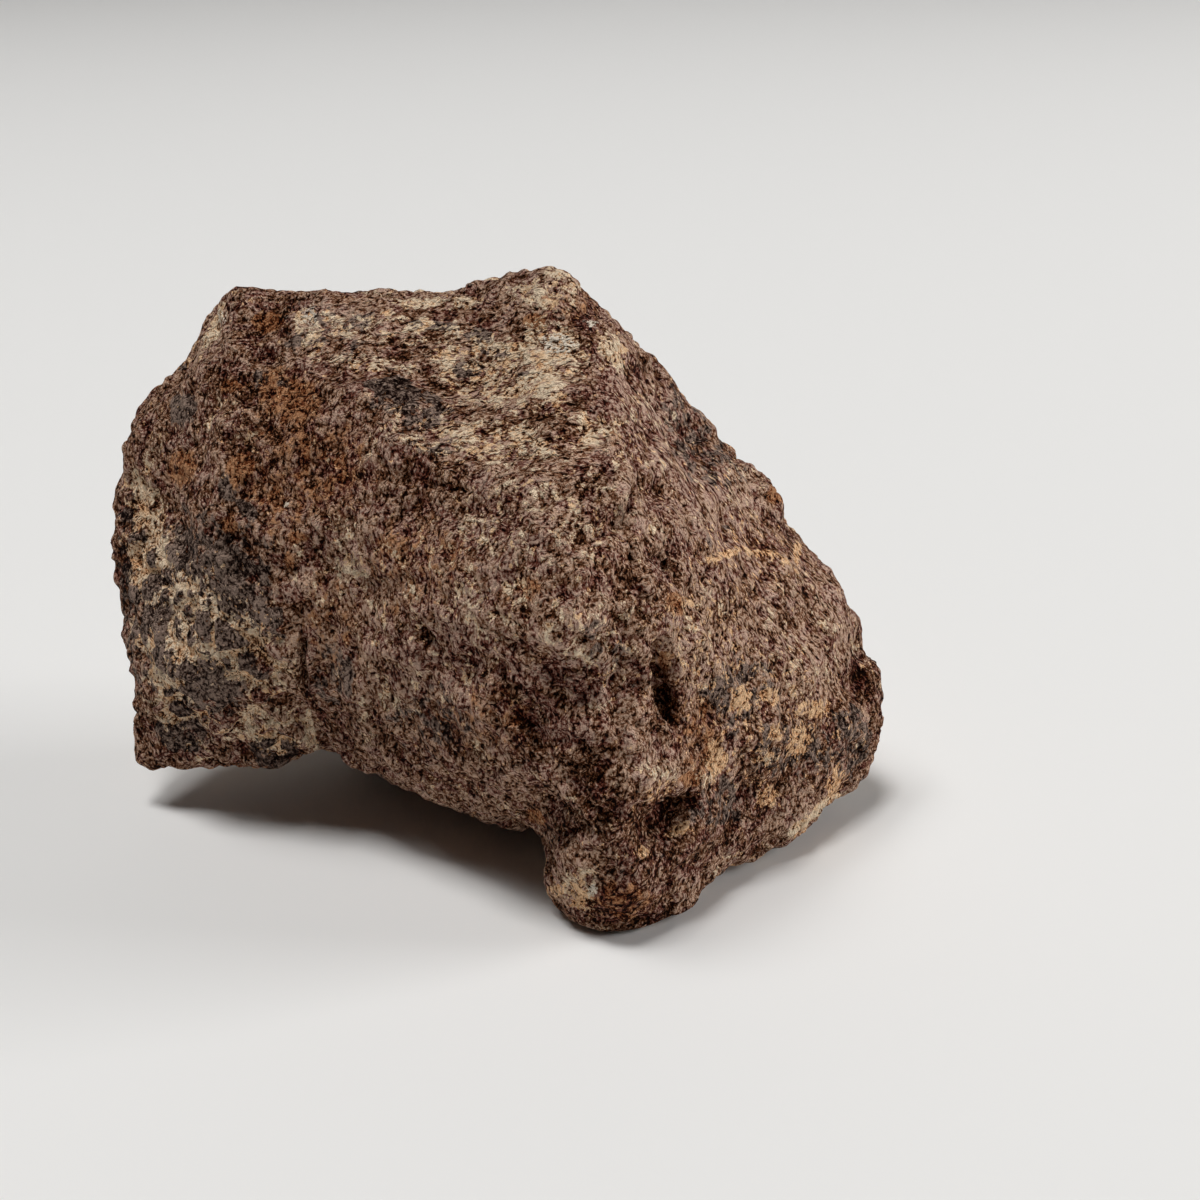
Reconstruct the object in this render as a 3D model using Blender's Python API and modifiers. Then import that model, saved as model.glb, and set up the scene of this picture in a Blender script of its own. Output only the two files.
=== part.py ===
"""A weathered stone meteorite, broken to a wedge about 37 mm wide, resting on a small flat spot.

X is to the right of the stone's broad weathered front, Y goes back from it and Z is up.
The origin is on the ground under the middle of the stone. The driving sizes are in millimetres.
"""

import bmesh
import bpy
import numpy as np
from mathutils import Vector, noise

MM = 0.001
STONE_NAME = "meteorite_fragment"

# How fine the skin is while it is worked, and how many triangles it keeps.
ROUGH_VOXEL = 0.6
FINE_VOXEL = 0.4
MOST_TRIANGLES = 9600

# Weather has rounded the broken edges, and this makes up for what the rounding takes off.
EDGE_ROUNDING = 4
ROUNDING_LOSS = 0.03

# Relief all over: (size of the lumps, height from the middle of the skin), largest first.
RELIEF = ((5.5, 0.50), (2.4, 0.34), (1.2, 0.14))
RELIEF_SEED = Vector((13.7, 4.1, 8.3))

# The blocks that the stone is broken to, each the hull of its corners.
CORE = (
    (1.8, 2.6, 25.7), (3.0, 1.5, 26.5), (4.4, 1.6, 25.5), (-0.1, 3.6, 24.7), (-4.2, 4.2, 24.6),
    (-8.4, 4.5, 24.9), (-11.1, 4.5, 25.4), (5.2, -1.5, 23.9), (6.0, -5.5, 21.5), (5.7, -9.2, 20.1),
    (2.2, -8.5, 19.4), (-2.0, -5.5, 19.8), (-6.5, -1.5, 21.7), (3.4, -12.0, 18.0), (6.4, -9.0, 19.2),
    (3.4, -13.2, 15.8), (7.0, -10.6, 16.0), (4.2, -13.4, 12.4), (4.6, -13.2, 8.0), (7.0, -11.8, 8.4),
    (1.6, -11.0, 11.0), (2.2, -10.0, 6.0), (-0.5, -7.8, 7.0), (-3.8, -6.2, 11.0), (-3.3, -6.5, 17.0),
    (-10.4, -0.3, 21.3), (-10.2, -2.4, 17.2), (-8.7, -3.4, 10.8), (-8.2, -3.8, 14.9),
    (-9.4, -1.4, 7.1), (-4.8, -1.6, 2.7), (-8.3, -0.1, 3.1), (-0.9, -4.2, 2.3), (1.4, -4.6, 1.6),
    (7.3, 2.5, 21.6), (12.5, 2.5, 15.4), (-9.0, 10.0, 21.0), (3.0, 8.0, 22.0), (-11.0, 12.8, 13.0),
    (4.0, 13.0, 12.0), (-11.0, 10.8, 4.0), (4.0, 11.0, 2.0),
    (-6.6, 7.2, -0.4), (-4.4, 4.4, -0.4), (0.4, 1.0, -0.4), (3.2, -1.8, -0.4), (6.6, -2.0, -0.4),
    (7.0, 2.0, -0.4), (2.5, 6.5, -0.4), (-3.0, 8.0, -0.4),
)
LEFT_BLOCK = (
    (-11.1, 4.5, 25.5), (-12.2, 4.8, 24.7), (-13.8, 5.2, 22.7), (-14.5, 5.5, 21.4), (-15.6, 5.5, 20.8),
    (-17.1, 5.2, 19.5), (-17.9, 5.0, 17.6), (-18.6, 4.5, 14.8), (-18.5, 4.0, 12.6), (-18.1, 3.0, 8.7),
    (-17.8, 3.0, 6.0), (-18.6, 2.7, 3.6), (-18.5, 2.2, 2.5), (-17.2, 1.5, 2.4), (-14.6, 0.6, 3.2),
    (-10.7, -0.1, 2.8), (-8.6, -0.6, 5.0), (-9.4, -1.6, 7.1), (-10.8, -3.0, 12.0), (-11.4, -2.4, 17.4),
    (-10.9, -0.3, 21.4), (-13.4, -2.2, 10.0), (-16.2, 0.0, 9.0), (-10.0, 11.0, 20.0), (-16.0, 10.5, 15.5),
    (-14.5, 11.0, 6.0), (-12.0, 7.5, 2.6), (-6.0, 10.5, 4.0), (-6.0, 5.0, 2.4), (-6.2, -4.9, 15.0),
    (-6.2, -4.6, 11.0), (-7.5, -2.2, 19.6),
)
RIGHT_WEDGE = (
    (4.4, 1.5, 25.4), (5.2, -1.5, 23.8), (6.0, -5.5, 21.4), (6.4, -9.0, 19.2), (7.0, -10.6, 16.0),
    (7.4, -11.3, 11.0), (7.2, -11.5, 8.6), (5.4, 2.0, 24.6), (6.4, 2.2, 23.3), (7.4, 2.5, 21.8),
    (9.2, 3.0, 19.0), (11.1, 3.0, 17.8), (12.0, 2.8, 16.8), (13.6, 2.6, 14.7), (15.5, 2.0, 12.1),
    (17.0, 1.6, 10.0), (17.8, 1.1, 8.0), (18.4, -0.1, 4.6), (18.3, -0.3, 2.4), (17.6, -0.6, 0.9),
    (13.6, -4.2, 0.7), (10.9, -6.6, 0.7), (11.4, -7.2, 5.1), (15.2, -3.8, 5.8), (12.4, -5.4, 10.8),
    (9.2, -7.4, 15.5), (3.0, 8.0, 21.0), (12.5, 8.5, 9.0), (15.0, 5.5, 3.0), (8.0, 11.0, 4.0),
    (6.0, 12.0, 12.0), (2.0, 0.0, 10.0), (8.0, -3.0, 0.2), (8.0, 3.5, 0.3),
)
FRONT_FOOT = (
    (5.6, -11.1, -0.4), (3.3, -10.4, 0.0), (2.2, -8.5, 0.4), (7.4, -10.3, -0.3), (9.6, -8.6, 0.1),
    (5.4, -12.5, 3.9), (3.0, -11.4, 4.2), (8.8, -10.4, 3.6), (4.6, -13.2, 8.0), (9.4, -9.4, 7.5),
    (6.8, -11.8, 9.5), (3.6, -4.5, 0.3), (8.0, -4.0, 0.2), (2.2, -5.0, 7.0), (10.5, -4.0, 6.0),
)
BLOCKS = (CORE, LEFT_BLOCK, RIGHT_WEDGE, FRONT_FOOT)

# Broad hollows and swells: (what, where, reach along X, Y and Z, rise). A hollow's rise is below zero.
SWELLS = (
    ("saddle in the top edge", (-4.0, 4.2, 25.4), (6.0, 6.0, 4.0), -0.8),
    ("dish of the upper face", (-0.5, -1.5, 23.0), (6.0, 5.0, 4.0), -0.9),
    ("knob at the peak", (2.9, 1.5, 26.6), (2.2, 2.5, 2.0), 0.3),
    ("hollow left of the belly", (-5.6, -5.0, 11.5), (4.0, 6.0, 8.0), -0.6),
    ("crusted knee on the left", (-13.4, -2.0, 9.5), (4.5, 4.0, 5.0), 0.4),
    ("hollow under the left brow", (-14.8, 1.0, 16.5), (3.0, 4.0, 4.0), -0.5),
    ("thumbprint", (4.2, -13.2, 12.7), (2.9, 4.0, 3.8), -1.1),
    ("rim right of the thumbprint", (7.1, -11.2, 14.6), (1.4, 3.0, 3.2), 0.3),
    ("rim under the thumbprint", (4.4, -13.2, 8.2), (3.6, 3.0, 1.4), 0.45),
    ("recess under the rim", (7.6, -11.2, 5.8), (2.2, 2.5, 1.3), -1.3),
    ("heel of the foot", (5.2, -12.4, 3.0), (2.6, 3.0, 2.2), 0.3),
    ("dent in the right lip", (17.2, -1.2, 7.2), (1.0, 1.6, 1.6), -0.9),
    ("right lip", (18.3, -0.2, 4.4), (1.2, 2.0, 2.2), 0.3),
    ("dent in the right edge", (9.1, 3.0, 19.6), (1.7, 4.0, 1.7), -0.6),
    ("first thumbprint behind", (-8.5, 12.0, 16.0), (4.5, 4.0, 4.0), -1.4),
    ("second thumbprint behind", (-1.0, 12.8, 10.0), (4.5, 4.0, 4.5), -1.5),
    ("third thumbprint behind", (6.5, 10.5, 15.5), (4.0, 4.0, 4.5), -1.3),
    ("fourth thumbprint behind", (9.5, 9.5, 6.5), (3.5, 4.0, 3.5), -1.2),
    ("fifth thumbprint behind", (-9.5, 11.5, 7.0), (4.0, 4.0, 3.5), -1.1),
    ("scar on the left end", (-16.0, 8.0, 9.5), (4.0, 3.5, 4.0), -0.9),
    ("hollow under the left side", (-10.0, 3.0, 2.5), (4.0, 4.0, 2.5), -0.5),
)

# Cracks, creases and low edges: (what, route on the skin, half width, rise).
LINES = (
    ("crease beside the knee", ((-9.2, -1.6, 8.4), (-8.6, -0.8, 5.4), (-7.9, 0.2, 3.0)), 0.8, -0.6),
    ("brow over the front", ((-6.5, -1.5, 21.7), (-2.0, -5.5, 19.8), (2.2, -8.5, 19.4)), 1.5, 0.3),
    ("edge between front and right", ((5.2, -1.5, 23.9), (6.0, -5.5, 21.5), (6.4, -9.0, 19.2)), 1.8, 0.25),
    ("long pit", ((7.3, -11.0, 13.4), (7.6, -10.8, 11.0)), 0.75, -1.4),
    ("slit over the long pit", ((5.7, -9.4, 19.2), (5.6, -9.8, 18.2)), 0.5, -0.6),
    ("groove round the thumbprint", ((1.8, -12.0, 11.0), (2.0, -12.4, 9.2), (3.4, -13.0, 7.6)), 0.7, -0.4),
    ("groove under the thumbprint", ((3.4, -13.0, 7.6), (5.6, -12.6, 6.9), (7.6, -11.2, 7.4)), 0.7, -0.4),
    ("rust ridge down the left", ((-11.1, 2.5, 24.2), (-10.9, -0.3, 21.4), (-11.4, -2.2, 17.4)), 1.6, 0.3),
    ("crack behind", ((-4.5, 12.5, 18.0), (-4.0, 13.0, 13.0), (-5.5, 12.5, 8.0)), 0.7, -0.6),
    ("ridge behind", ((3.0, 9.5, 21.0), (2.8, 12.6, 14.0), (4.5, 12.4, 8.0)), 1.6, 0.5),
)

# Single pits: (where, half width, depth). Smaller ones are scattered over the skin.
PITS = (
    ((7.6, -9.4, 16.7), 0.8, 0.8),
    ((7.6, 2.0, 21.6), 0.7, 0.6),
    ((4.2, -12.6, 14.6), 0.6, 0.4),
)
PIT_SEED = 5
PIT_COUNT = 46
PIT_HALF_WIDTH = (0.6, 1.3)
PIT_DEPTH = (0.15, 0.4)

# Desert varnish over a dark crust, as one colour: red, green and blue light.
STONE_COLOUR = (0.105, 0.066, 0.046)
STONE_ROUGHNESS = 0.72


def skin_of(mesh):
    """The mesh's points and their outward directions, in millimetres."""
    points = np.empty(len(mesh.vertices) * 3)
    mesh.vertices.foreach_get("co", points)
    outward = np.empty(len(mesh.vertices) * 3)
    mesh.vertices.foreach_get("normal", outward)
    return points.reshape(-1, 3) / MM, outward.reshape(-1, 3)


def set_skin(mesh, points):
    mesh.vertices.foreach_set("co", (points * MM).ravel())
    mesh.update()


def broken_blocks():
    """One mesh that holds the hull of each block's corners."""
    blocks = bmesh.new()
    for corners in BLOCKS:
        hull = bmesh.new()
        for corner in corners:
            hull.verts.new(Vector(corner) * MM)
        made = bmesh.ops.convex_hull(hull, input=hull.verts)
        inside = [v for v in made["geom_interior"] if isinstance(v, bmesh.types.BMVert)]
        bmesh.ops.delete(hull, geom=inside, context="VERTS")
        bmesh.ops.recalc_face_normals(hull, faces=hull.faces)
        piece = bpy.data.meshes.new("block")
        hull.to_mesh(piece)
        hull.free()
        blocks.from_mesh(piece)
        bpy.data.meshes.remove(piece)
    mesh = bpy.data.meshes.new(STONE_NAME)
    blocks.to_mesh(mesh)
    blocks.free()
    return mesh


def settle(stone, kind, **settings):
    """Runs one modifier on the stone and keeps the result as the stone's own mesh."""
    modifier = stone.modifiers.new(kind.title(), kind)
    for name, value in settings.items():
        setattr(modifier, name, value)
    bpy.context.view_layer.update()
    graph = bpy.context.evaluated_depsgraph_get()
    before = stone.data
    stone.data = bpy.data.meshes.new_from_object(stone.evaluated_get(graph))
    stone.modifiers.clear()
    bpy.data.meshes.remove(before)
    stone.data.name = STONE_NAME


def nearest_on(points, place):
    """The point of the skin nearest to the place."""
    return points[np.linalg.norm(points - np.array(place), axis=1).argmin()]


def fading(distance):
    """1 at no distance, falling smoothly to 0 at 1 and beyond."""
    return np.clip(1.0 - distance**2, 0.0, 1.0) ** 2


def swell(points, outward, place, reach, rise):
    """Lifts or sinks a round patch of the skin along the way that it faces."""
    away = (points - nearest_on(points, place)) / np.array(reach)
    share = fading(np.linalg.norm(away, axis=1))
    facing = (outward * share[:, None]).sum(axis=0)
    facing /= np.linalg.norm(facing)
    share[outward @ facing < 0.0] = 0.0
    return points + share[:, None] * facing * rise


def line(points, outward, route, half_width, rise):
    """Lifts or sinks the skin along a route, to nothing at the half width on either side."""
    route = [nearest_on(points, place) for place in route]
    distance = np.full(len(points), np.inf)
    for start, end in zip(route, route[1:]):
        along = end - start
        share = np.clip((points - start) @ along / (along @ along), 0.0, 1.0)
        beside = np.linalg.norm(points - start - share[:, None] * along, axis=1)
        distance = np.minimum(distance, beside)
    return points + outward * rise * fading(distance / half_width)[:, None]


def scattered_pits(points):
    """Small pits, as (where, half width, depth)."""
    draw = np.random.default_rng(PIT_SEED)
    places = draw.choice(len(points), PIT_COUNT, replace=False)
    return [(points[i], draw.uniform(*PIT_HALF_WIDTH), draw.uniform(*PIT_DEPTH)) for i in places]


def relief(points, outward):
    """Lumps of several sizes all over the skin."""
    height = np.full(len(points), ROUNDING_LOSS)
    for size, most in RELIEF:
        height += [most * noise.noise(Vector(point) / size + RELIEF_SEED) for point in points]
    return points + outward * height[:, None]


def stone_material():
    material = bpy.data.materials.new("weathered_stone")
    material.use_nodes = True
    surface = material.node_tree.nodes["Principled BSDF"]
    surface.inputs["Base Color"].default_value = (*STONE_COLOUR, 1.0)
    surface.inputs["Roughness"].default_value = STONE_ROUGHNESS
    surface.inputs["Metallic"].default_value = 0.0
    return material


def make_stone():
    stone = bpy.data.objects.new(STONE_NAME, broken_blocks())
    group = bpy.data.collections.new(STONE_NAME)
    bpy.context.scene.collection.children.link(group)
    group.objects.link(stone)

    settle(stone, "REMESH", mode="VOXEL", voxel_size=ROUGH_VOXEL * MM)
    settle(stone, "SMOOTH", factor=0.5, iterations=EDGE_ROUNDING)
    points, outward = skin_of(stone.data)
    for _, place, reach, rise in SWELLS:
        points = swell(points, outward, place, reach, rise)
    set_skin(stone.data, points)

    settle(stone, "REMESH", mode="VOXEL", voxel_size=FINE_VOXEL * MM)
    settle(stone, "SMOOTH", factor=0.5, iterations=2)
    set_skin(stone.data, relief(*skin_of(stone.data)))
    points, outward = skin_of(stone.data)
    for _, route, half_width, rise in LINES:
        points = line(points, outward, route, half_width, rise)
    for place, half_width, depth in (*PITS, *scattered_pits(points)):
        points = swell(points, outward, place, (half_width,) * 3, -depth)
    set_skin(stone.data, points)

    stone.data.calc_loop_triangles()
    kept = MOST_TRIANGLES / len(stone.data.loop_triangles)
    settle(stone, "DECIMATE", ratio=kept, use_collapse_triangulate=True)
    points, _ = skin_of(stone.data)
    points[:, 2] = np.maximum(points[:, 2], 0.0)
    set_skin(stone.data, points)
    stone.data.materials.append(stone_material())
    stone.data.shade_smooth()
    print("lowest and highest, mm:", points.min(axis=0).round(2), points.max(axis=0).round(2))


def main():
    for old in list(bpy.data.objects):
        bpy.data.objects.remove(old)
    make_stone()


main()
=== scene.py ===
# %% [markdown]
# # A weathered stone meteorite
#
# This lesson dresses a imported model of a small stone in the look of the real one. The
# model gives the shape and the size; here the stone gets a finer skin, its pits and
# cracks, its colours and its light. It is written for a reader who is learning Blender,
# so each step first says what is there on the real stone and why it is made this way.

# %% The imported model
import math

import bpy
import numpy as np
from mathutils import Matrix, Vector, noise
from mathutils.bvhtree import BVHTree


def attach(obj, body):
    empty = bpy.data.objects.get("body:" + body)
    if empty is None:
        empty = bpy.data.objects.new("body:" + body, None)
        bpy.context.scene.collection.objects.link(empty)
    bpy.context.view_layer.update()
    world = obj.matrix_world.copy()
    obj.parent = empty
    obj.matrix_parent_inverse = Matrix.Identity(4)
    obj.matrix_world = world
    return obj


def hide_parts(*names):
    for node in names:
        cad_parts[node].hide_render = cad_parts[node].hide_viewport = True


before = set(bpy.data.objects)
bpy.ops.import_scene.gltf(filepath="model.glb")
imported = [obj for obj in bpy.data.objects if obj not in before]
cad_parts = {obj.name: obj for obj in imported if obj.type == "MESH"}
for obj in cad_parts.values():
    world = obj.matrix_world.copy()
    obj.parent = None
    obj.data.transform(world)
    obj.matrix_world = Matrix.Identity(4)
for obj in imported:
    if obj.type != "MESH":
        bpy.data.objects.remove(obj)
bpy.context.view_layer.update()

MM = 0.001
cad_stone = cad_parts["meteorite_fragment"]

# %% [markdown]
# ## The camera
#
# The camera comes first, because the marks on the stone are placed through it. It
# stands about 80 mm from the stone and looks down at it by about 22 degrees, as someone
# does who bends over it. The numbers come from measuring the picture. It is square,
# 1200 pixels wide.

# %% The camera
PICTURE = 1200
CAMERA_PLACE = Vector((4.92, -77.44, 43.32)) * MM
CAMERA_TILT = math.radians(67.53)
CAMERA_ROLL = math.radians(-1.67)
LENS = 54.24
SENSOR = 36.0
NEAREST_SEEN = 5
FARTHEST_SEEN = 5000

camera = bpy.data.objects.new("camera", bpy.data.cameras.new("camera"))
bpy.context.scene.collection.objects.link(camera)
bpy.context.scene.camera = camera
camera.data.lens = LENS
camera.data.sensor_width = SENSOR
camera.data.clip_start = NEAREST_SEEN * MM
camera.data.clip_end = FARTHEST_SEEN * MM
turned = Matrix.Rotation(CAMERA_TILT, 4, "X") @ Matrix.Rotation(CAMERA_ROLL, 4, "Z")
camera.matrix_world = Matrix.Translation(CAMERA_PLACE) @ turned
print("the camera looks down by", round(90 - math.degrees(CAMERA_TILT), 1), "degrees")

# %% [markdown]
# ## A finer skin
#
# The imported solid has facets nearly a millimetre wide. The real skin has grains, pits
# and blisters that are smaller than that. So its mesh is copied, its double points are
# welded, and a voxel remesh lays an even net of small faces over the copy. Each face is
# 0.18 mm wide, about four pixels of the picture. A subdivision surface would do too, but
# it would crowd its faces where the facets are small. A little smoothing takes off the
# edges of the facets.

# %% A finer skin
NET = 0.18
WELD_GAP = 0.001
SMOOTHING_TURNS = 5

stone = bpy.data.objects.new("weathered_skin", cad_stone.data.copy())
bpy.context.scene.collection.objects.link(stone)


def settle(kind, **settings):
    """Runs one modifier on the stone and keeps what it makes as the stone's own mesh."""
    modifier = stone.modifiers.new(kind.title(), kind)
    for name, value in settings.items():
        setattr(modifier, name, value)
    graph = bpy.context.evaluated_depsgraph_get()
    before = stone.data
    stone.data = bpy.data.meshes.new_from_object(stone.evaluated_get(graph))
    stone.modifiers.clear()
    bpy.data.meshes.remove(before)


settle("WELD", merge_threshold=WELD_GAP * MM)
settle("REMESH", mode="VOXEL", voxel_size=NET * MM)
settle("SMOOTH", factor=0.5, iterations=SMOOTHING_TURNS)
print("the skin has", len(stone.data.polygons), "faces, nearly all with four corners")

# %% [markdown]
# ## Reading and moving the skin
#
# Sculpting by hand can't be repeated by a script, so the brush is a few lines of
# numpy. The skin is read as a list of points in millimetres and a list of the ways that
# they face. A mark is put where it shows in the picture: a ray from the camera through
# that pixel finds the point of the skin. A mark that no ray reaches is put at the point
# of the skin nearest to a place in millimetres.

# %% Reading and moving the skin
def read_skin():
    mesh = stone.data
    points = np.empty(len(mesh.vertices) * 3)
    mesh.vertices.foreach_get("co", points)
    outward = np.empty(len(mesh.vertices) * 3)
    mesh.vertices.foreach_get("normal", outward)
    return points.reshape(-1, 3) / MM, outward.reshape(-1, 3)


def keep_skin(points):
    stone.data.vertices.foreach_set("co", (points * MM).ravel())
    stone.data.update()


bpy.context.view_layer.update()
smooth_skin = BVHTree.FromObject(stone, bpy.context.evaluated_depsgraph_get())
points, outward = read_skin()


def spot(place):
    """The point of the skin, in mm, at a pixel of the picture or nearest to a place."""
    if len(place) == 3:
        return np.array(smooth_skin.find_nearest(Vector(place) * MM)[0]) / MM
    across = (place[0] - PICTURE / 2) / PICTURE * SENSOR / LENS
    down = (place[1] - PICTURE / 2) / PICTURE * SENSOR / LENS
    ray = camera.matrix_world.to_3x3() @ Vector((across, -down, -1.0))
    hit = smooth_skin.ray_cast(CAMERA_PLACE, ray.normalized())[0]
    if hit is None:
        raise ValueError(f"pixel {place} is beside the stone")
    return np.array(hit) / MM


def fading(distance):
    """1 at no distance, falling smoothly to 0 at 1 and beyond."""
    return np.clip(1.0 - distance**2, 0.0, 1.0) ** 2


def near(place, reach):
    """How near each point of the skin is to a spot, from 0 at the reach to 1."""
    return fading(np.linalg.norm(points - spot(place), axis=1) / reach)


def beside(route, half_width):
    """How near each point of the skin is to a route of spots, from 0 to 1."""
    stops = [spot(place) for place in route]
    distance = np.full(len(points), np.inf)
    for start, end in zip(stops, stops[1:]):
        along = end - start
        share = np.clip((points - start) @ along / (along @ along), 0.0, 1.0)
        there = np.linalg.norm(points - start - share[:, None] * along, axis=1)
        distance = np.minimum(distance, there)
    return fading(distance / half_width)


def lumps(size, seed, stretch=(1.0, 1.0, 1.0)):
    """Smooth noise from -1 to 1 on the skin, with lumps about this many mm across."""
    shift = np.array((13.7, 4.1, 8.3)) * seed
    places = points / size / np.array(stretch) + shift
    return np.array([noise.noise(Vector(place)) for place in places])


def smooth_step(low, high, value):
    """0 at low, 1 at high, and a soft curve between them."""
    share = np.clip((value - low) / (high - low), 0.0, 1.0)
    return share * share * (3.0 - 2.0 * share)


middle = (PICTURE / 2, PICTURE / 2)
print("the skin has", len(points), "points; the picture's middle is at", spot(middle).round(1))

# %% [markdown]
# ## Regions of the stone
#
# The stone doesn't look the same all over. The dish on top is scoured by wind-blown
# sand in streaks. The lobe at the lower left still has its crust, with blisters. The
# right side is drawn out in dashes along its edge. Each region is a number from 0 to 1 at
# every point, made from a few spots, and both the relief and the colours use it.

# %% Regions of the stone
# Each spot is a pixel of the picture and a reach in mm.
DISH_SPOTS = (
    ((360, 335), 4.0), ((440, 350), 4.5), ((520, 380), 4.5), ((470, 430), 3.0), ((560, 440), 3.0),
)
RIGHT_SIDE_SPOTS = (
    ((650, 420), 4.0), ((700, 480), 4.0), ((740, 540), 4.5), ((800, 600), 5.0), ((840, 660), 4.0),
)
LOBE_SPOTS = (
    ((150, 560), 3.2), ((190, 620), 3.6), ((250, 660), 3.4), ((170, 700), 3.4), ((270, 730), 2.6),
    ((140, 500), 2.2),
)
AWAY_FROM_CAMERA = np.array((0.0, 0.92, -0.38))


def region(spots):
    """The union of round patches with soft edges."""
    found = np.zeros(len(points))
    for place, reach in spots:
        found = np.maximum(found, near(place, reach))
    return np.minimum(1.6 * found, 1.0)


scoured_dish = region(DISH_SPOTS)
drawn_out_side = region(RIGHT_SIDE_SPOTS)
crusted_lobe = region(LOBE_SPOTS)
hidden_side = smooth_step(-0.1, 0.4, outward @ AWAY_FROM_CAMERA)
print("share of the skin hidden in the picture:", round(float(hidden_side.mean()), 2))

# %% [markdown]
# ## Bulges and hollows
#
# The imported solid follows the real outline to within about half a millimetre. These
# wide, low bulges and hollows bring the skin closer to it. Each is a place on the edge
# of the stone as the camera sees it, in mm, because a ray can't be trusted there: it
# may just miss the stone.

# %% Bulges and hollows
# Place, reach and rise, all in mm. A hollow's rise is below zero.
BULGES = (
    ((8.9, 2.4, 19.7), 2.0, 0.42), ((12.9, 1.6, 15.9), 2.2, 0.52), ((15.9, 0.6, 11.4), 1.7, 0.50),
    ((17.7, 0.2, 8.4), 1.6, -0.75), ((14.6, 2.2, 13.5), 1.0, -0.25), ((-11.0, 4.1, 25.2), 1.6, 0.55),
    ((-6.6, 3.1, 25.2), 2.4, 0.45), ((-0.8, 2.4, 26.0), 2.4, -0.55), ((3.6, 1.1, 26.4), 1.6, 0.25),
    ((-13.9, 4.4, 22.2), 1.8, -0.65), ((-18.0, 5.1, 16.9), 1.6, -0.50), ((-18.4, 2.6, 5.7), 1.5, -1.05),
    ((-18.6, 3.4, 8.8), 1.2, 0.25), ((-17.4, 2.1, 2.8), 1.3, 0.55),
)

height = np.zeros(len(points))
for place, reach, rise in BULGES:
    height += rise * near(place, reach)
print(len(BULGES), "bulges, from", round(float(height.min()), 2), "to", round(float(height.max()), 2), "mm")

# %% [markdown]
# ## Relief of the skin
#
# Weathering leaves relief of every size, so several layers of noise are added, each
# about half as wide as the one before. The two middle layers stand highest, because
# the real skin is roughest at about a millimetre. In the dish and down the right side
# the lumps are stretched, as the streaks are. The crusted lobe gets rounded blisters,
# which are the insides of Voronoi cells, with narrow valleys between them. The rest is
# crumbly: smaller cells, whose gaps open only here and there, some filled with dust.

# %% Relief of the skin
# Size of the lumps and rise, in mm, and the seed.
LAYERS = ((2.4, 0.10, 1), (1.2, 0.16, 2), (0.65, 0.16, 3), (0.42, 0.09, 4))
ALONG_X = (2.2, 1.0, 1.0)
DOWN_THE_SIDE = (1.0, 1.0, 2.2)
SMALLEST_STRETCHED = 0.5
BLISTER = 1.25
VALLEY_DEPTH = 0.24
CRUMB = 0.9
GAP_DEPTH = 0.14
WANDER = 0.35

relief = np.zeros(len(points))
for size, rise, seed in LAYERS:
    layer = lumps(size, seed)
    if size > SMALLEST_STRETCHED:
        layer += (lumps(size, seed + 10, ALONG_X) - layer) * scoured_dish
        layer += (lumps(size, seed + 20, DOWN_THE_SIDE) - layer) * drawn_out_side
    relief += rise * layer * (1.0 - 0.4 * drawn_out_side)
height += relief


def between_cells(places, width):
    """1 where two Voronoi cells meet, falling to 0 at a share of a cell's width."""
    cells = [noise.voronoi(Vector(place))[0] for place in places]
    return np.array([fading((second - first) / width) for first, second, _, _ in cells])


# The cells' edges wander, so that no blister has straight sides.
wander = WANDER * np.stack([lumps(1.5, seed) for seed in (31, 32, 33)], axis=1)
valley = between_cells((points + wander) / BLISTER, 0.35)
blistered = np.maximum(crusted_lobe, hidden_side * smooth_step(0.0, 0.3, lumps(9.0, 40)))
height -= VALLEY_DEPTH * valley * blistered

gap = between_cells((points + 0.5 * wander + 40.0) / CRUMB, 0.30)
gap *= smooth_step(-0.25, 0.35, lumps(2.0, 50)) * (1.0 - 0.7 * blistered) * (1.0 - 0.5 * scoured_dish)
height -= GAP_DEPTH * gap
dusty_gap = gap * smooth_step(0.0, 0.4, lumps(3.0, 51))
print("relief from", round(float(height.min()), 2), "to", round(float(height.max()), 2), "mm")

# %% [markdown]
# ## Pits, cracks and ledges
#
# These are the marks that someone would know this stone by. Pits are where soft grains
# fell out, cracks run along the edge of the lobe and over the front, and curved grooves
# lie round the thumbprint hollow. Each one sinks or lifts the skin by a given depth.

# %% Pits, cracks and ledges
# Pixel, reach and depth. The reach and the depth are in mm, here and below.
PITS = (
    ((658, 676), 0.55, 0.3), ((662, 692), 0.6, 0.4), ((668, 708), 0.6, 0.5), ((674, 721), 0.5, 0.4),
    ((652, 668), 0.4, 0.4), ((669, 567), 0.4, 0.7), ((663, 556), 0.3, 0.35), ((641, 484), 0.3, 0.4),
    ((648, 368), 0.4, 0.5), ((604, 326), 0.3, 0.35), ((616, 332), 0.3, 0.35), ((580, 699), 0.35, 0.35),
    ((544, 721), 0.35, 0.4), ((568, 658), 0.25, 0.25), ((666, 806), 0.8, 0.35), ((688, 800), 0.7, 0.25),
    ((652, 822), 0.6, 0.3), ((860, 676), 0.8, 0.3), ((170, 715), 0.3, 0.3), ((640, 726), 0.35, 0.3),
    ((600, 822), 0.5, 0.3), ((530, 440), 0.3, 0.15), ((770, 497), 0.45, 0.25), ((676, 604), 0.4, 0.3),
)
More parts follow.
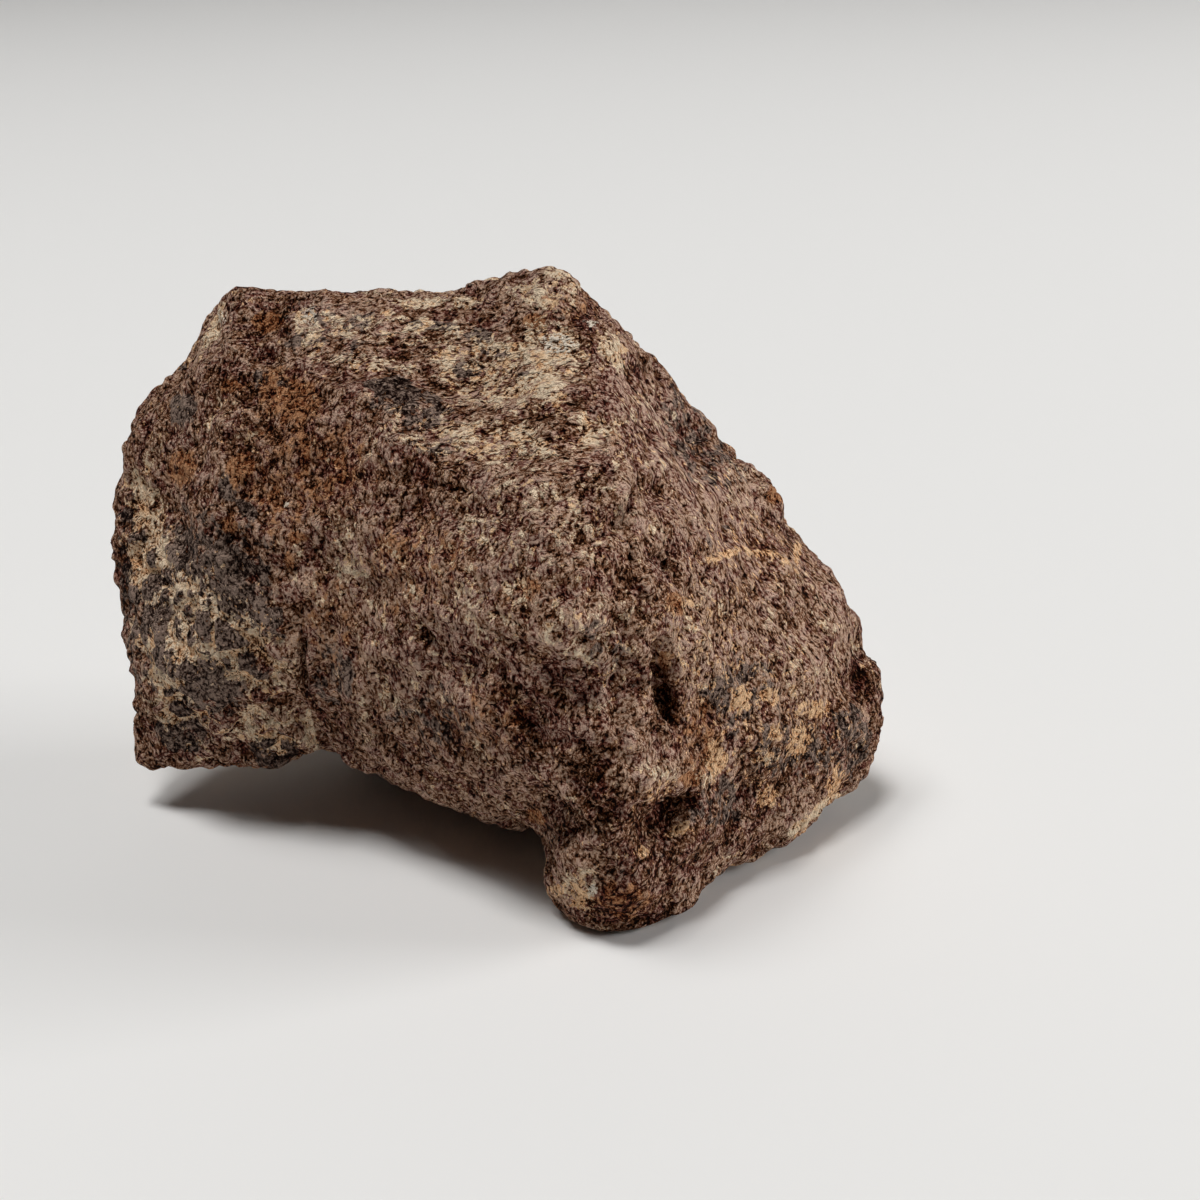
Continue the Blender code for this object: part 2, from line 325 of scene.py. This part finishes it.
# A route of pixels, half of the width, and the depth.
CRACKS = (
    (((304, 640), (303, 662), (305, 690)), 0.28, 0.55),
    (((305, 690), (312, 704), (322, 718)), 0.30, 0.20),
    (((634, 490), (632, 500), (631, 509)), 0.25, 0.45),
    (((600, 509), (598, 524)), 0.20, 0.25),
    (((629, 543), (632, 553), (634, 563)), 0.20, 0.30),
    (((439, 485), (452, 489), (463, 490)), 0.22, 0.22),
    (((504, 511), (513, 517), (530, 531)), 0.20, 0.15),
    (((498, 664), (504, 692), (520, 720), (539, 749)), 0.34, 0.26),
    (((512, 690), (530, 725), (556, 758), (590, 772)), 0.28, 0.24),
    (((569, 809), (590, 806), (619, 814)), 0.28, 0.35),
    (((552, 836), (567, 834), (590, 822)), 0.24, 0.25),
    (((560, 416), (520, 418), (490, 410)), 0.22, 0.12),
)
# A route of pixels, half of the width, and the rise. The first one carries ochre dust.
DUSTY_LEDGE = ((709, 561), (740, 550), (765, 552), (785, 562), (797, 573))
LEDGES = (
    (DUSTY_LEDGE, 0.35, 0.12),
    (((530, 532), (560, 537), (600, 528)), 0.35, 0.12),
    (((307, 640), (309, 662), (311, 690)), 0.28, 0.22),
    (((484, 655), (491, 692), (508, 724), (528, 754)), 0.40, 0.20),
    (((700, 640), (716, 668), (722, 700)), 0.40, 0.10),
    (((590, 770), (630, 778), (670, 765)), 0.45, 0.15),
)

# The pit mask also darkens the colour in pits and cracks: partly their own colour, partly painted shade.
pitted = np.zeros(len(points))
for place, reach, depth in PITS:
    share = near(place, reach)
    height -= depth * share
    pitted = np.maximum(pitted, share)
for route, half_width, depth in CRACKS:
    share = beside(route, half_width)
    height -= depth * share
    pitted = np.maximum(pitted, share)
for route, half_width, rise in LEDGES:
    height += rise * beside(route, half_width)
print(len(PITS), "pits,", len(CRACKS), "cracks,", len(LEDGES), "ledges")

# %% [markdown]
# ## Small pits all over
#
# The whole skin is dotted with pits, up to a millimetre wide. They are drawn at random
# with a fixed seed, so the stone comes out the same every time.

# %% Small pits all over
SMALL_PITS = 420
SMALL_PIT_REACH = (0.25, 0.55)
SMALL_PIT_DEPTH = (0.04, 0.2)

draw = np.random.default_rng(11)
for i in draw.choice(len(points), SMALL_PITS, replace=False):
    share = fading(np.linalg.norm(points - points[i], axis=1) / draw.uniform(*SMALL_PIT_REACH))
    height -= draw.uniform(*SMALL_PIT_DEPTH) * share
    pitted = np.maximum(pitted, 0.6 * share)
print(SMALL_PITS, "small pits")

# %% [markdown]
# ## The skin is moved
#
# The height moves each point along the way that it faces. Near the ground the height
# fades, because the stone rests there on a small flat spot, and no point goes below it.

# %% The skin is moved
FADE_HEIGHT = 0.8
ON_THE_GROUND = 0.02

off_ground = smooth_step(0.0, FADE_HEIGHT, points[:, 2])
moved = points + outward * (height * off_ground)[:, None]
moved[:, 2] = np.where(points[:, 2] < ON_THE_GROUND, 0.0, np.maximum(moved[:, 2], 0.0))
keep_skin(moved)
stone.data.shade_smooth()
print("moved by up to", round(float(np.abs(height).max()), 2), "mm")

# %% [markdown]
# ## Ovals in the picture
#
# Patches of colour are read off the picture as ovals, so each point of the skin first
# gets its own place in the picture. An oval colours only what the camera sees. On the
# hidden sides a coat lies in clouds of its own, so that the stone looks whole all round.

# %% Ovals in the picture
across_sensor = (points - np.array(CAMERA_PLACE) / MM) @ np.array(camera.matrix_world.to_3x3())
pixels_over_depth = PICTURE * LENS / SENSOR * across_sensor[:, :2] * (1, -1)
in_picture = PICTURE / 2 + pixels_over_depth / -across_sensor[:, 2:]
to_camera = np.array(CAMERA_PLACE) / MM - points
to_camera /= np.linalg.norm(to_camera, axis=1)[:, None]
seen = smooth_step(-0.05, 0.12, (outward * to_camera).sum(axis=1))


def oval(centre, radii, turn):
    """An oval in the picture, turned clockwise by degrees: 1 inside, fading to 0 outside."""
    aside = in_picture - np.array(centre)
    cosine, sine = math.cos(math.radians(turn)), math.sin(math.radians(turn))
    long_way = (aside[:, 0] * cosine + aside[:, 1] * sine) / radii[0]
    short_way = (aside[:, 1] * cosine - aside[:, 0] * sine) / radii[1]
    return smooth_step(1.2, 0.5, np.hypot(long_way, short_way)) * seen


def coat(patches, elsewhere, size, seed):
    """The patches of a coat, and on the hidden sides clouds of a strength and a size in mm."""
    found = elsewhere * smooth_step(-0.3, 0.5, lumps(size, seed)) * (1.0 - seen)
    for centre, radii, turn, strength in patches:
        found = np.maximum(found, strength * oval(centre, radii, turn))
    return found


print("share of the skin that the camera sees:", round(float(seen.mean()), 2))

# %% [markdown]
# ## Where the colours lie
#
# Desert weathering has put several coats on the stone. Pale clay lies in the dish and in
# low places, rust has grown on the upper left, dark crust shows on the lobe, and ochre
# clay sits in crumbs on the lower right. The crust is partly painted sheen: its greyish
# colour also stands in for the soft sheen on the dark skin. A few small spots are nearly
# white with lime.
# Two more numbers only tint what is there: plum, where the varnish is redder, and stain
# and shade, where the skin is darker. Some of these dark patches are real stains; others
# are painted shade under lips and overhangs and along the lower edges. Each coat is one
# number per point.

# %% Where the colours lie
# The centre and the two radii in pixels, the turn in degrees, and the strength.
CLAY = (
    ((505, 374), (95, 50), 10, 0.68), ((480, 440), (110, 30), 5, 0.62), ((592, 432), (30, 24), 0, 0.66),
    ((440, 301), (62, 9), -3, 0.78), ((548, 292), (50, 22), -10, 0.68), ((614, 352), (14, 32), -30, 0.76),
    ((556, 345), (44, 26), 15, 0.76), ((310, 335), (18, 36), -15, 0.70), ((370, 362), (66, 12), 6, 0.62),
    ((212, 332), (10, 42), 25, 0.70), ((150, 472), (12, 28), 0, 0.48), ((165, 535), (45, 50), 0, 0.10),
    ((820, 815), (48, 14), -35, 0.95), ((650, 772), (50, 18), -20, 0.42), ((580, 885), (22, 26), 0, 0.8),
    ((400, 330), (110, 22), 3, 0.54), ((640, 430), (60, 60), 0, 0.42), ((720, 500), (60, 60), 0, 0.34),
    ((800, 640), (60, 90), 0, 0.38), ((700, 640), (60, 70), 0, 0.42), ((430, 620), (130, 120), 0, 0.34),
    ((540, 520), (130, 70), 0, 0.44), ((590, 630), (80, 60), 30, 0.44), ((470, 800), (90, 30), 15, 0.34),
    ((330, 560), (60, 80), 0, 0.36), ((230, 600), (70, 50), 0, 0.26), ((245, 730), (50, 12), -15, 0.60),
    ((310, 735), (8, 30), -10, 0.80), ((150, 650), (6, 28), 5, 0.80), ((780, 480), (20, 60), -30, 0.35),
)
RUST = (
    ((268, 321), (20, 12), -10, 0.95), ((231, 386), (16, 9), 5, 0.80), ((290, 398), (44, 32), 35, 0.66),
    ((182, 468), (18, 22), 0, 0.75), ((240, 468), (20, 20), 20, 0.85), ((230, 524), (12, 12), 0, 0.70),
    ((298, 537), (12, 9), 0, 0.85), ((290, 562), (9, 14), 0, 0.75), ((534, 320), (14, 8), 0, 0.85),
    ((536, 818), (14, 10), 0, 0.85), ((690, 780), (14, 10), 0, 0.80), ((770, 497), (9, 14), -30, 0.80),
    ((675, 604), (14, 16), 0, 0.70), ((666, 660), (10, 14), 0, 0.70), ((395, 610), (12, 10), 0, 0.55),
    ((300, 470), (90, 80), 0, 0.44), ((420, 560), (70, 60), 0, 0.42), ((330, 620), (40, 70), 0, 0.40),
    ((520, 590), (30, 16), 0, 0.50), ((700, 740), (30, 60), -10, 0.45), ((620, 900), (46, 26), 0, 0.50),
    ((600, 440), (30, 20), 0, 0.38), ((570, 300), (40, 20), 0, 0.40), ((480, 720), (60, 50), 0, 0.36),
)
# Dark crust, partly real and partly painted sheen: its greyish colour also stands in for a soft sheen.
CRUST_AND_SHEEN = (
    ((272, 380), (22, 11), 10, 0.80), ((182, 410), (16, 20), 20, 0.95), ((396, 388), (34, 16), 0, 0.95),
    ((480, 337), (16, 11), 0, 1.0), ((467, 369), (18, 9), 0, 1.0), ((410, 402), (50, 26), 20, 0.7),
    ((430, 446), (60, 10), 5, 0.45), ((530, 376), (26, 5), 8, 0.75), ((430, 326), (34, 8), 5, 0.8),
    ((228, 487), (13, 15), 0, 1.3), ((246, 508), (17, 9), 40, 1.1), ((193, 576), (15, 12), 0, 0.90),
    ((274, 618), (14, 12), 0, 0.90), ((210, 643), (9, 14), 0, 0.90), ((239, 645), (11, 15), 0, 0.85),
    ((180, 730), (30, 30), 0, 0.95), ((222, 700), (12, 15), 0, 0.85), ((275, 750), (28, 22), 0, 0.90),
    ((335, 675), (26, 44), 0, 0.50), ((600, 640), (40, 30), 0, 0.30), ((740, 690), (44, 40), 0, 0.52),
    ((790, 750), (60, 40), 0, 0.54), ((720, 800), (34, 30), 0, 0.55), ((500, 352), (34, 5), 5, 0.75),
    ((430, 720), (50, 40), 0, 0.42), ((135, 560), (20, 90), 0, 0.60), ((850, 740), (24, 50), 0, 0.60),
    ((700, 440), (40, 70), -35, 0.50), ((200, 620), (90, 120), 0, 0.85), ((330, 330), (60, 30), 0, 0.45),
)
OCHRE = (
    ((740, 700), (14, 18), 0, 0.95), ((771, 697), (12, 12), 0, 0.80), ((815, 709), (20, 11), 0, 0.85),
    ((800, 740), (14, 26), 10, 0.80), ((774, 733), (10, 9), 0, 0.85), ((719, 758), (12, 24), 0, 0.95),
    ((769, 796), (14, 15), 0, 0.80), ((835, 783), (11, 22), 10, 0.80), ((680, 829), (14, 8), -30, 0.9),
    ((578, 894), (12, 20), 0, 0.85), ((555, 890), (12, 9), 0, 0.75), ((770, 720), (100, 80), 0, 0.24),
    ((740, 560), (60, 50), 0, 0.25), ((690, 600), (12, 9), 0, 0.60), ((660, 790), (20, 10), -20, 0.60),
    ((700, 650), (70, 70), 0, 0.28), ((798, 552), (5, 14), 0, 0.80), ((645, 853), (8, 8), 0, 0.70),
)
PALE = (
    ((558, 343), (24, 14), 0, 0.58), ((592, 322), (8, 5), 0, 0.60), ((592, 891), (6, 7), 0, 0.75),
    ((285, 505), (2.4, 3.2), 0, 1.5), ((283, 488), (1.6, 2), 0, 1.4), ((310, 318), (10, 12), 0, 0.50),
    ((222, 318), (8, 10), 0, 0.50),
)
PLUM = (
    ((650, 420), (84, 36), 45, 1.0), ((470, 560), (110, 60), 0, 0.5), ((570, 700), (54, 54), 0, 0.8),
    ((450, 650), (80, 60), 0, 0.6), ((620, 900), (50, 30), 0, 0.7), ((190, 730), (50, 30), 0, 0.6),
    ((560, 305), (60, 20), 20, 0.6), ((700, 520), (50, 80), -30, 0.5), ((350, 500), (60, 90), 0, 0.4),
)
# Darker patches: some are real stains, some are painted shade under lips, overhangs and lower edges.
STAIN_AND_SHADE = (
    ((700, 845), (44, 20), -25, 0.7), ((665, 806), (36, 22), 0, 0.6), ((569, 700), (34, 30), 0, 0.3),
    ((665, 690), (14, 36), -20, 0.6), ((620, 908), (46, 22), 0, 0.8), ((862, 680), (18, 30), 0, 0.8),
    ((470, 350), (70, 24), 5, 0.3), ((480, 400), (120, 60), 5, 0.25), ((150, 520), (18, 50), 0, 0.7),
    ((230, 386), (30, 16), 0, 0.6), ((395, 388), (34, 16), 0, 0.5), ((600, 826), (50, 14), 0, 0.7),
    ((180, 730), (34, 30), 0, 0.5), ((275, 752), (30, 20), 0, 0.7), ((440, 785), (60, 16), 25, 0.3),
    ((330, 480), (30, 40), 0, 0.3), ((125, 540), (12, 60), 0, 0.5),
)

ochre_crumbs = coat(OCHRE, 0.38, 3.0, 44)
coverage = {
    "clay": coat(CLAY, 0.62, 4.0, 41),
    "rust": coat(RUST, 0.50, 3.5, 42),
    "crust": coat(CRUST_AND_SHEEN, 0.62, 3.5, 43),
    "ochre": np.maximum(ochre_crumbs, 0.85 * beside(DUSTY_LEDGE, 0.36)),
    "pale": coat(PALE, 0.0, 3.0, 45),
    "stain_and_shade": coat(STAIN_AND_SHADE, 0.4, 5.0, 46),
    "plum": coat(PLUM, 0.5, 5.0, 47),
}
print("coats:", {name: f"{100 * share.mean():.1f} %" for name, share in coverage.items()})

# %% [markdown]
# ## Numbers that the material reads
#
# A material can't read a Python list. So every number is kept as an attribute of the
# mesh, which a material finds by its name. The forms of the skin are handed over too:
# dust gathers in the valleys between blisters and in some of the gaps between crumbs,
# while pits and bare gaps are dark, partly in their own colour and partly as painted
# shade. The relief goes too, so that the tone can paint light on high places and shade
# in low ones.

# %% Numbers that the material reads
coverage["scoured"] = scoured_dish
coverage["drawn_out"] = drawn_out_side
coverage["dusty_valley"] = np.maximum(valley * blistered, 0.8 * dusty_gap)
# Pits, cracks and bare gaps between crumbs, which the tone darkens: partly their own colour, partly painted
# shade.
coverage["pitted"] = np.maximum(pitted, 0.8 * (gap - dusty_gap))
# The relief, which the tone turns into painted light and shade: high places lighter, low places darker.
coverage["relief"] = np.clip(0.5 + relief / 0.5, 0.0, 1.0)

for name, share in coverage.items():
    stone.data.attributes.new(name, "FLOAT", "POINT").data.foreach_set("value", share)
print(len(coverage), "attributes:", ", ".join(coverage))

# %% [markdown]
# ## Colours and nodes
#
# Colours are written as sRGB hex values, as a paint program shows them. Blender's
# shaders work in linear light, so one function turns them. One more function adds a node:
# it sets the node's properties, and gives each input a number or another node's output.

# %% Colours and nodes
def linear(hex_colour, alpha=1.0):
    shares = [int(hex_colour[i : i + 2], 16) / 255 for i in (1, 3, 5)]
    return (*[s / 12.92 if s <= 0.04045 else ((s + 0.055) / 1.055) ** 2.4 for s in shares], alpha)


def add(material, kind, inputs=None, stops=None, **settings):
    """Adds a node. Stops are (place, hex colour) pairs for the node that has a ramp."""
    tree = material.node_tree
    made = tree.nodes.new("ShaderNode" + kind)
    for name, value in settings.items():
        setattr(made, name, value)
    for name, value in (inputs or {}).items():
        if isinstance(value, bpy.types.NodeSocket):
            tree.links.new(value, made.inputs[name])
        else:
            made.inputs[name].default_value = value
    for i, (place, colour) in enumerate(stops or ()):
        ramp = made.color_ramp.elements
        stop = ramp[i] if i < 2 else ramp.new(place)
        stop.position = place
        stop.color = linear(colour)
    return made


# The inputs and the output of a Mix node that mixes colours, and of one that mixes vectors.
SHARE, COLOUR_A, COLOUR_B, MIXED_COLOUR = 0, 6, 7, 2
VECTOR_A, VECTOR_B, MIXED_VECTOR = 4, 5, 1
print("sRGB #808080 is", round(linear("#808080")[0], 3), "in linear light")

# %% [markdown]
# ## Weathered chondrite
#
# The stone is an ordinary chondrite, broken by nature and weathered in a desert. It
# has no lustre of metal; the eye sees a fine salt-and-pepper grain of dark minerals and
# pale dust, 0.15 mm wide, under a thin brown varnish. Grain that fine is three pixels
# wide here, so it can be drawn at its real size. Crumbs of 0.3 mm lie over it, and
# creases run between folds of 0.6 mm. In the dish the grain is drawn out sideways, and
# on the right side it slopes down along the edge.

# %% Weathered chondrite: the grain
GRAIN = 0.15
CRUMBS = 0.30
CREASE = 0.60
MOTTLE = 0.80
CLOUD = 2.8
# How many times as long as wide the grain is, and how far the dashes slope in degrees.
STREAK = 1.5
DASH = 1.7
DASH_SLOPE = 56
UPRIGHT = 1.3

skin = bpy.data.materials.new("weathered_chondrite")
skin.use_nodes = True
surface = skin.node_tree.nodes["Principled BSDF"]

metres = add(skin, "TexCoord").outputs["Object"]
place = add(skin, "VectorMath", {0: metres, 1: (1 / MM,) * 3}, operation="MULTIPLY").outputs[0]
region_of = {name: add(skin, "Attribute", attribute_name=name).outputs["Fac"] for name in coverage}


def grain(size, at, detail=2.0, rough=0.6, twist=0.0, output=0):
    """Noise from 0 to 1 with lumps about this many mm across. Output 1 is three noises."""
    inputs = {"Vector": at, "Scale": 1 / size, "Detail": detail, "Roughness": rough, "Distortion": twist}
    return add(skin, "TexNoise", inputs).outputs[output]


def weigh(start, *terms):
    """Adds up (output, weight) pairs, starting from a number."""
    total = start
    for output, weight in terms:
        total = add(skin, "Math", {0: output, 1: weight, 2: total}, operation="MULTIPLY_ADD").outputs[0]
    return total


def from_to(value, low, high):
    """0 at low, 1 at high, and a straight line between them."""
    inputs = {"Value": value, "From Min": low, "From Max": high}
    return add(skin, "MapRange", inputs).outputs["Result"]


def choose(name, first, second):
    """The second vector inside a region, whose edge is broken up by the mottling, else the first."""
    inside = weigh(-0.3, (region_of[name], 1.0), (mottle, 0.6))
    share = add(skin, "Math", {0: inside, 1: 0.5}, operation="GREATER_THAN").outputs[0]
    inputs = {SHARE: share, VECTOR_A: first, VECTOR_B: second}
    return add(skin, "Mix", inputs, data_type="VECTOR").outputs[MIXED_VECTOR]


def drawn_along(lengths, slope=0.0):
    """The place, squeezed so that the grain on it comes out longer by these factors."""
    inputs = {0: place, "Rotation": (0.0, math.radians(slope), 0.0), "Scale": lengths}
    return add(skin, "Mapping", inputs, vector_type="TEXTURE").outputs[0]


mottle, hue_mottle, crust_mottle = add(
    skin, "SeparateColor", {0: grain(MOTTLE, place, output=1)}
).outputs
cloud = grain(CLOUD, place, 1.0)
drawn = choose("scoured", drawn_along((1.0, 1.0, UPRIGHT)), drawn_along((STREAK, 1.0, 1.0)))
drawn = choose("drawn_out", drawn, drawn_along((DASH, 1.0, 1.0), DASH_SLOPE))
fine_grain = grain(GRAIN, drawn, 2.0, 0.75)
crumbs, dust_grain, crust_grain = add(
    skin, "SeparateColor", {0: grain(CRUMBS, drawn, 3.0, 0.7, 0.15, output=1)}
).outputs

# How far a noise is from a half makes rounded folds with sharp creases between them.
off_middle = add(skin, "Math", {0: grain(CREASE, drawn, 2.0, 0.6, 0.6), 1: -0.5}, operation="ADD")
folds = add(skin, "Math", {0: off_middle.outputs[0]}, operation="ABSOLUTE").outputs[0]
# Creases darken the tone as painted shade; fold tops lighten it as a painted highlight and also raise the
# bump.
painted_crease_shade = from_to(folds, 0.045, 0.0)
fold_tops_highlight_and_bump = from_to(folds, 0.0, 0.14)
# Gaps between crumbs darken the tone: painted shade.
gap_shade = from_to(crumbs, 0.42, 0.36)
print("the grain has", len(skin.node_tree.nodes), "nodes so far")

# %% [markdown]
# ## The tone
#
# The tone says how light the skin is at a point. It adds up the grain, the mottling and
# the broad clouds. Clay is lighter. High places and the tops of folds are lighter too, as
# a painted highlight, and creases and gaps between crumbs are darker, as painted shade.
# Pits and the stain-and-shade patches are darker, partly in their own colour and partly
# as painted shade. A ramp turns the tone into colour: nearly black in the deepest gaps,
# brown varnish, and dusty tan on what stands out. Each coat has its own ramp, so light
# and shade run on under all of them.

# %% Weathered chondrite: the tone
# Relief and fold tops paint light into the tone; creases and gaps paint shade; pits and stains are partly
# their own colour and partly painted shade.
tone = weigh(
    -1.63, (fine_grain, 2.5), (crumbs, 0.8), (mottle, 0.25), (cloud, 0.4), (region_of["clay"], 0.24),
    (region_of["relief"], 0.5), (region_of["pitted"], -0.35), (region_of["stain_and_shade"], -0.30),
    (painted_crease_shade, -0.38), (gap_shade, -0.20), (fold_tops_highlight_and_bump, 0.24),
)
RAMPS = {
    "varnish": (
        (0.04, "#140400"), (0.20, "#3e1d09"), (0.36, "#603821"), (0.50, "#7a523a"), (0.64, "#956d55"),
        (0.80, "#b58d74"), (0.95, "#d4b097"),
    ),
    "reddish varnish": (
        (0.04, "#160302"), (0.20, "#44190f"), (0.36, "#643426"), (0.50, "#7b4e41"), (0.64, "#94695a"),
        (0.80, "#b28b7a"), (0.95, "#d3b09c"),
    ),
    # Greyish dark crust, whose grey also paints the soft sheen.
    "crust": (
        (0.04, "#120503"), (0.22, "#2f1e18"), (0.42, "#4c3930"), (0.62, "#6e5a4f"), (0.84, "#a0887a"),
    ),
    "rust": (
        (0.04, "#1e0702"), (0.20, "#522510"), (0.40, "#844a2a"), (0.58, "#a66c47"), (0.82, "#ca946c"),
    ),
    "clay": (
        (0.02, "#3e2414"), (0.12, "#8a5e3f"), (0.24, "#c8976f"), (0.42, "#eec49c"), (0.76, "#ffe6c6"),
    ),
    "ochre": ((0.02, "#54301a"), (0.16, "#ac744b"), (0.36, "#e6ac7c"), (0.75, "#ffd3a6")),
    "lime": ((0.02, "#8a6a4e"), (0.26, "#dcbf9f"), (0.62, "#fff0dc")),
}
tinted = {
    name: add(skin, "ValToRGB", {"Fac": tone}, stops=stops).outputs["Color"]
    for name, stops in RAMPS.items()
}
print(len(RAMPS), "ramps:", ", ".join(RAMPS))

# %% [markdown]
# ## Coats over the grain
#
# A coat never ends in a smooth line on a rough stone. So its attribute is added to
# noise and cut at a threshold: where the coat is strong it is closed, and towards its
# edge it breaks up into crumbs. Dust is clay that turns to ochre in places. It lies in
# the valleys and gaps, and in the patches of clay.

# %% Coats over the grain
def crumbled(name, noise_output, low, high, weight):
    """Where a coat lies, from 0 to 1: its attribute broken up by noise."""
    return from_to(weigh(-weight / 2, (noise_output, weight), (region_of[name], 1.0)), low, high)


# The crust coat: real crust, with its greyish colour also painting a soft sheen.
crust_share = crumbled("crust", weigh(0.0, (crust_mottle, 0.6), (crust_grain, 0.4)), 0.46, 0.56, 3.4)
rust_share = crumbled("rust", weigh(0.0, (mottle, 0.4), (crumbs, 0.6)), 0.40, 0.66, 2.6)
vein_share = crumbled("dusty_valley", dust_grain, 0.50, 0.60, 3.0)
dust_share = crumbled("clay", weigh(0.0, (dust_grain, 0.65), (mottle, 0.35)), 0.60, 0.66, 3.6)
ochre_share = crumbled("ochre", dust_grain, 0.54, 0.60, 3.4)
pale_share = crumbled("pale", fine_grain, 0.45, 0.60, 1.8)

redder = from_to(weigh(0.0, (hue_mottle, 1.0), (region_of["plum"], 0.12)), 0.48, 0.60)
warmer = weigh(-3.0, (hue_mottle, 6.0))
dust = add(
    skin, "Mix", {SHARE: warmer, COLOUR_A: tinted["clay"], COLOUR_B: tinted["ochre"]}, data_type="RGBA"
).outputs[MIXED_COLOUR]

# From the bottom to the top: where each coat lies, and its colour.
COATS = (
    (redder, tinted["reddish varnish"]), (crust_share, tinted["crust"]), (rust_share, tinted["rust"]),
    (vein_share, dust), (dust_share, dust), (ochre_share, tinted["ochre"]), (pale_share, tinted["lime"]),
)
colour = tinted["varnish"]
for share, coat_colour in COATS:
    inputs = {SHARE: share, COLOUR_A: colour, COLOUR_B: coat_colour}
    colour = add(skin, "Mix", inputs, data_type="RGBA").outputs[MIXED_COLOUR]
skin.node_tree.links.new(colour, surface.inputs["Base Color"])
print(len(COATS), "coats over the brown varnish")

# %% [markdown]
# ## Gloss and the finest relief
#
# Wind has polished the crust a little, while clay and lime are dull. The skin is so
# broken up that it shows no shine of its own, so the specular level is kept very low.
# The soft sheen on the dark crust is painted into its greyish colour instead.
# Relief too fine for the net of faces is added as bump: the same grain that colours the
# skin also raises it, so that pale grains catch the light.

# %% Gloss and the finest relief
BUMP_HEIGHT = 0.22
# Typical of silicate rock.
STONE_IOR = 1.55
STONE_SPECULAR = 0.03

gloss = weigh(0.58, (crust_share, -0.12), (region_of["clay"], 0.12), (mottle, 0.2), (ochre_share, 0.15))
skin.node_tree.links.new(gloss, surface.inputs["Roughness"])
surface.inputs["Metallic"].default_value = 0.0
surface.inputs["IOR"].default_value = STONE_IOR
surface.inputs["Specular IOR Level"].default_value = STONE_SPECULAR
raised = weigh(0.0, (fine_grain, 1.3), (crumbs, 1.6), (fold_tops_highlight_and_bump, 0.8), (dust_share, 0.15))
bump = add(skin, "Bump", {"Height": raised, "Strength": 1.0, "Distance": BUMP_HEIGHT * MM})
skin.node_tree.links.new(bump.outputs["Normal"], surface.inputs["Normal"])

stone.data.materials.clear()
stone.data.materials.append(skin)
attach(stone, "root")
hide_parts("meteorite_fragment")
print("the material has", len(skin.node_tree.nodes), "nodes")

# %% [markdown]
# ## The floor
#
# A sheet of white card lies on the ground and curves up behind, so that no edge shows.
# It is one profile, drawn out sideways. Matt card has no shine, and it throws a soft
# light back at the underside of the stone.

# %% The floor
CARD_IN_FRONT = 3000.0
CARD_BEHIND = 700.0
CARD_BEND = 400.0
CARD_HEIGHT = 1400.0
CARD_HALF_WIDTH = 1800.0
BEND_STEPS = 12
CARD_COLOUR = "#ecebe9"
CARD_ROUGHNESS = 0.9

profile = [(-CARD_IN_FRONT, 0.0), (CARD_BEHIND, 0.0)]
for step in range(1, BEND_STEPS + 1):
    angle = math.radians(90 * step / BEND_STEPS)
    profile.append((CARD_BEHIND + CARD_BEND * math.sin(angle), CARD_BEND * (1 - math.cos(angle))))
profile.append((CARD_BEHIND + CARD_BEND, CARD_HEIGHT))
corners = [(side * CARD_HALF_WIDTH * MM, y * MM, z * MM) for y, z in profile for side in (-1, 1)]
faces = [(2 * i, 2 * i + 1, 2 * i + 3, 2 * i + 2) for i in range(len(profile) - 1)]
card_mesh = bpy.data.meshes.new("white_card")
card_mesh.from_pydata(corners, [], faces)
card_mesh.shade_smooth()

card = bpy.data.objects.new("white_card", card_mesh)
bpy.context.scene.collection.objects.link(card)
white = bpy.data.materials.new("matt_white_card")
white.use_nodes = True
white.node_tree.nodes["Principled BSDF"].inputs["Base Color"].default_value = linear(CARD_COLOUR)
white.node_tree.nodes["Principled BSDF"].inputs["Roughness"].default_value = CARD_ROUGHNESS
card.data.materials.append(white)
print("the card has", len(faces), "faces")

# %% [markdown]
# ## The light
#
# The light is soft, from three square panels about a metre away. Two hang high, one in
# front of the stone and one on its left, and put a short shadow on the right. The third
# stands low on the right: it lights that side of the stone and puts a long, soft shadow
# on the left. The room itself adds hardly any light, so the shadows stay deep.

# %% The light
# Name, place and width in mm, and power in watts.
PANELS = (
    ("overhead_panel", (-130.0, -250.0, 1190.0), 260.0, 6.6),
    ("left_panel", (-380.0, -60.0, 1060.0), 360.0, 3.7),
    ("right_panel", (840.0, 20.0, 300.0), 400.0, 4.8),
)
LIT_PLACE = (0.0, 0.0, 10.0)
ROOM_COLOUR = "#f2f0ee"
ROOM_STRENGTH = 0.02

for name, panel_place, width, power in PANELS:
    light = bpy.data.lights.new(name, "AREA")
    light.size = width * MM
    light.energy = power
    panel = bpy.data.objects.new(name, light)
    bpy.context.scene.collection.objects.link(panel)
    panel.location = Vector(panel_place) * MM
    aim = Vector(LIT_PLACE) * MM - panel.location
    panel.rotation_mode = "QUATERNION"
    panel.rotation_quaternion = aim.to_track_quat("-Z", "Y")
    print(name, "is", round(aim.length / MM), "mm from the stone")

world = bpy.data.worlds.new("room")
world.use_nodes = True
bpy.context.scene.world = world
world.node_tree.nodes["Background"].inputs["Color"].default_value = linear(ROOM_COLOUR)
world.node_tree.nodes["Background"].inputs["Strength"].default_value = ROOM_STRENGTH
bpy.context.scene.view_settings.view_transform = "Standard"
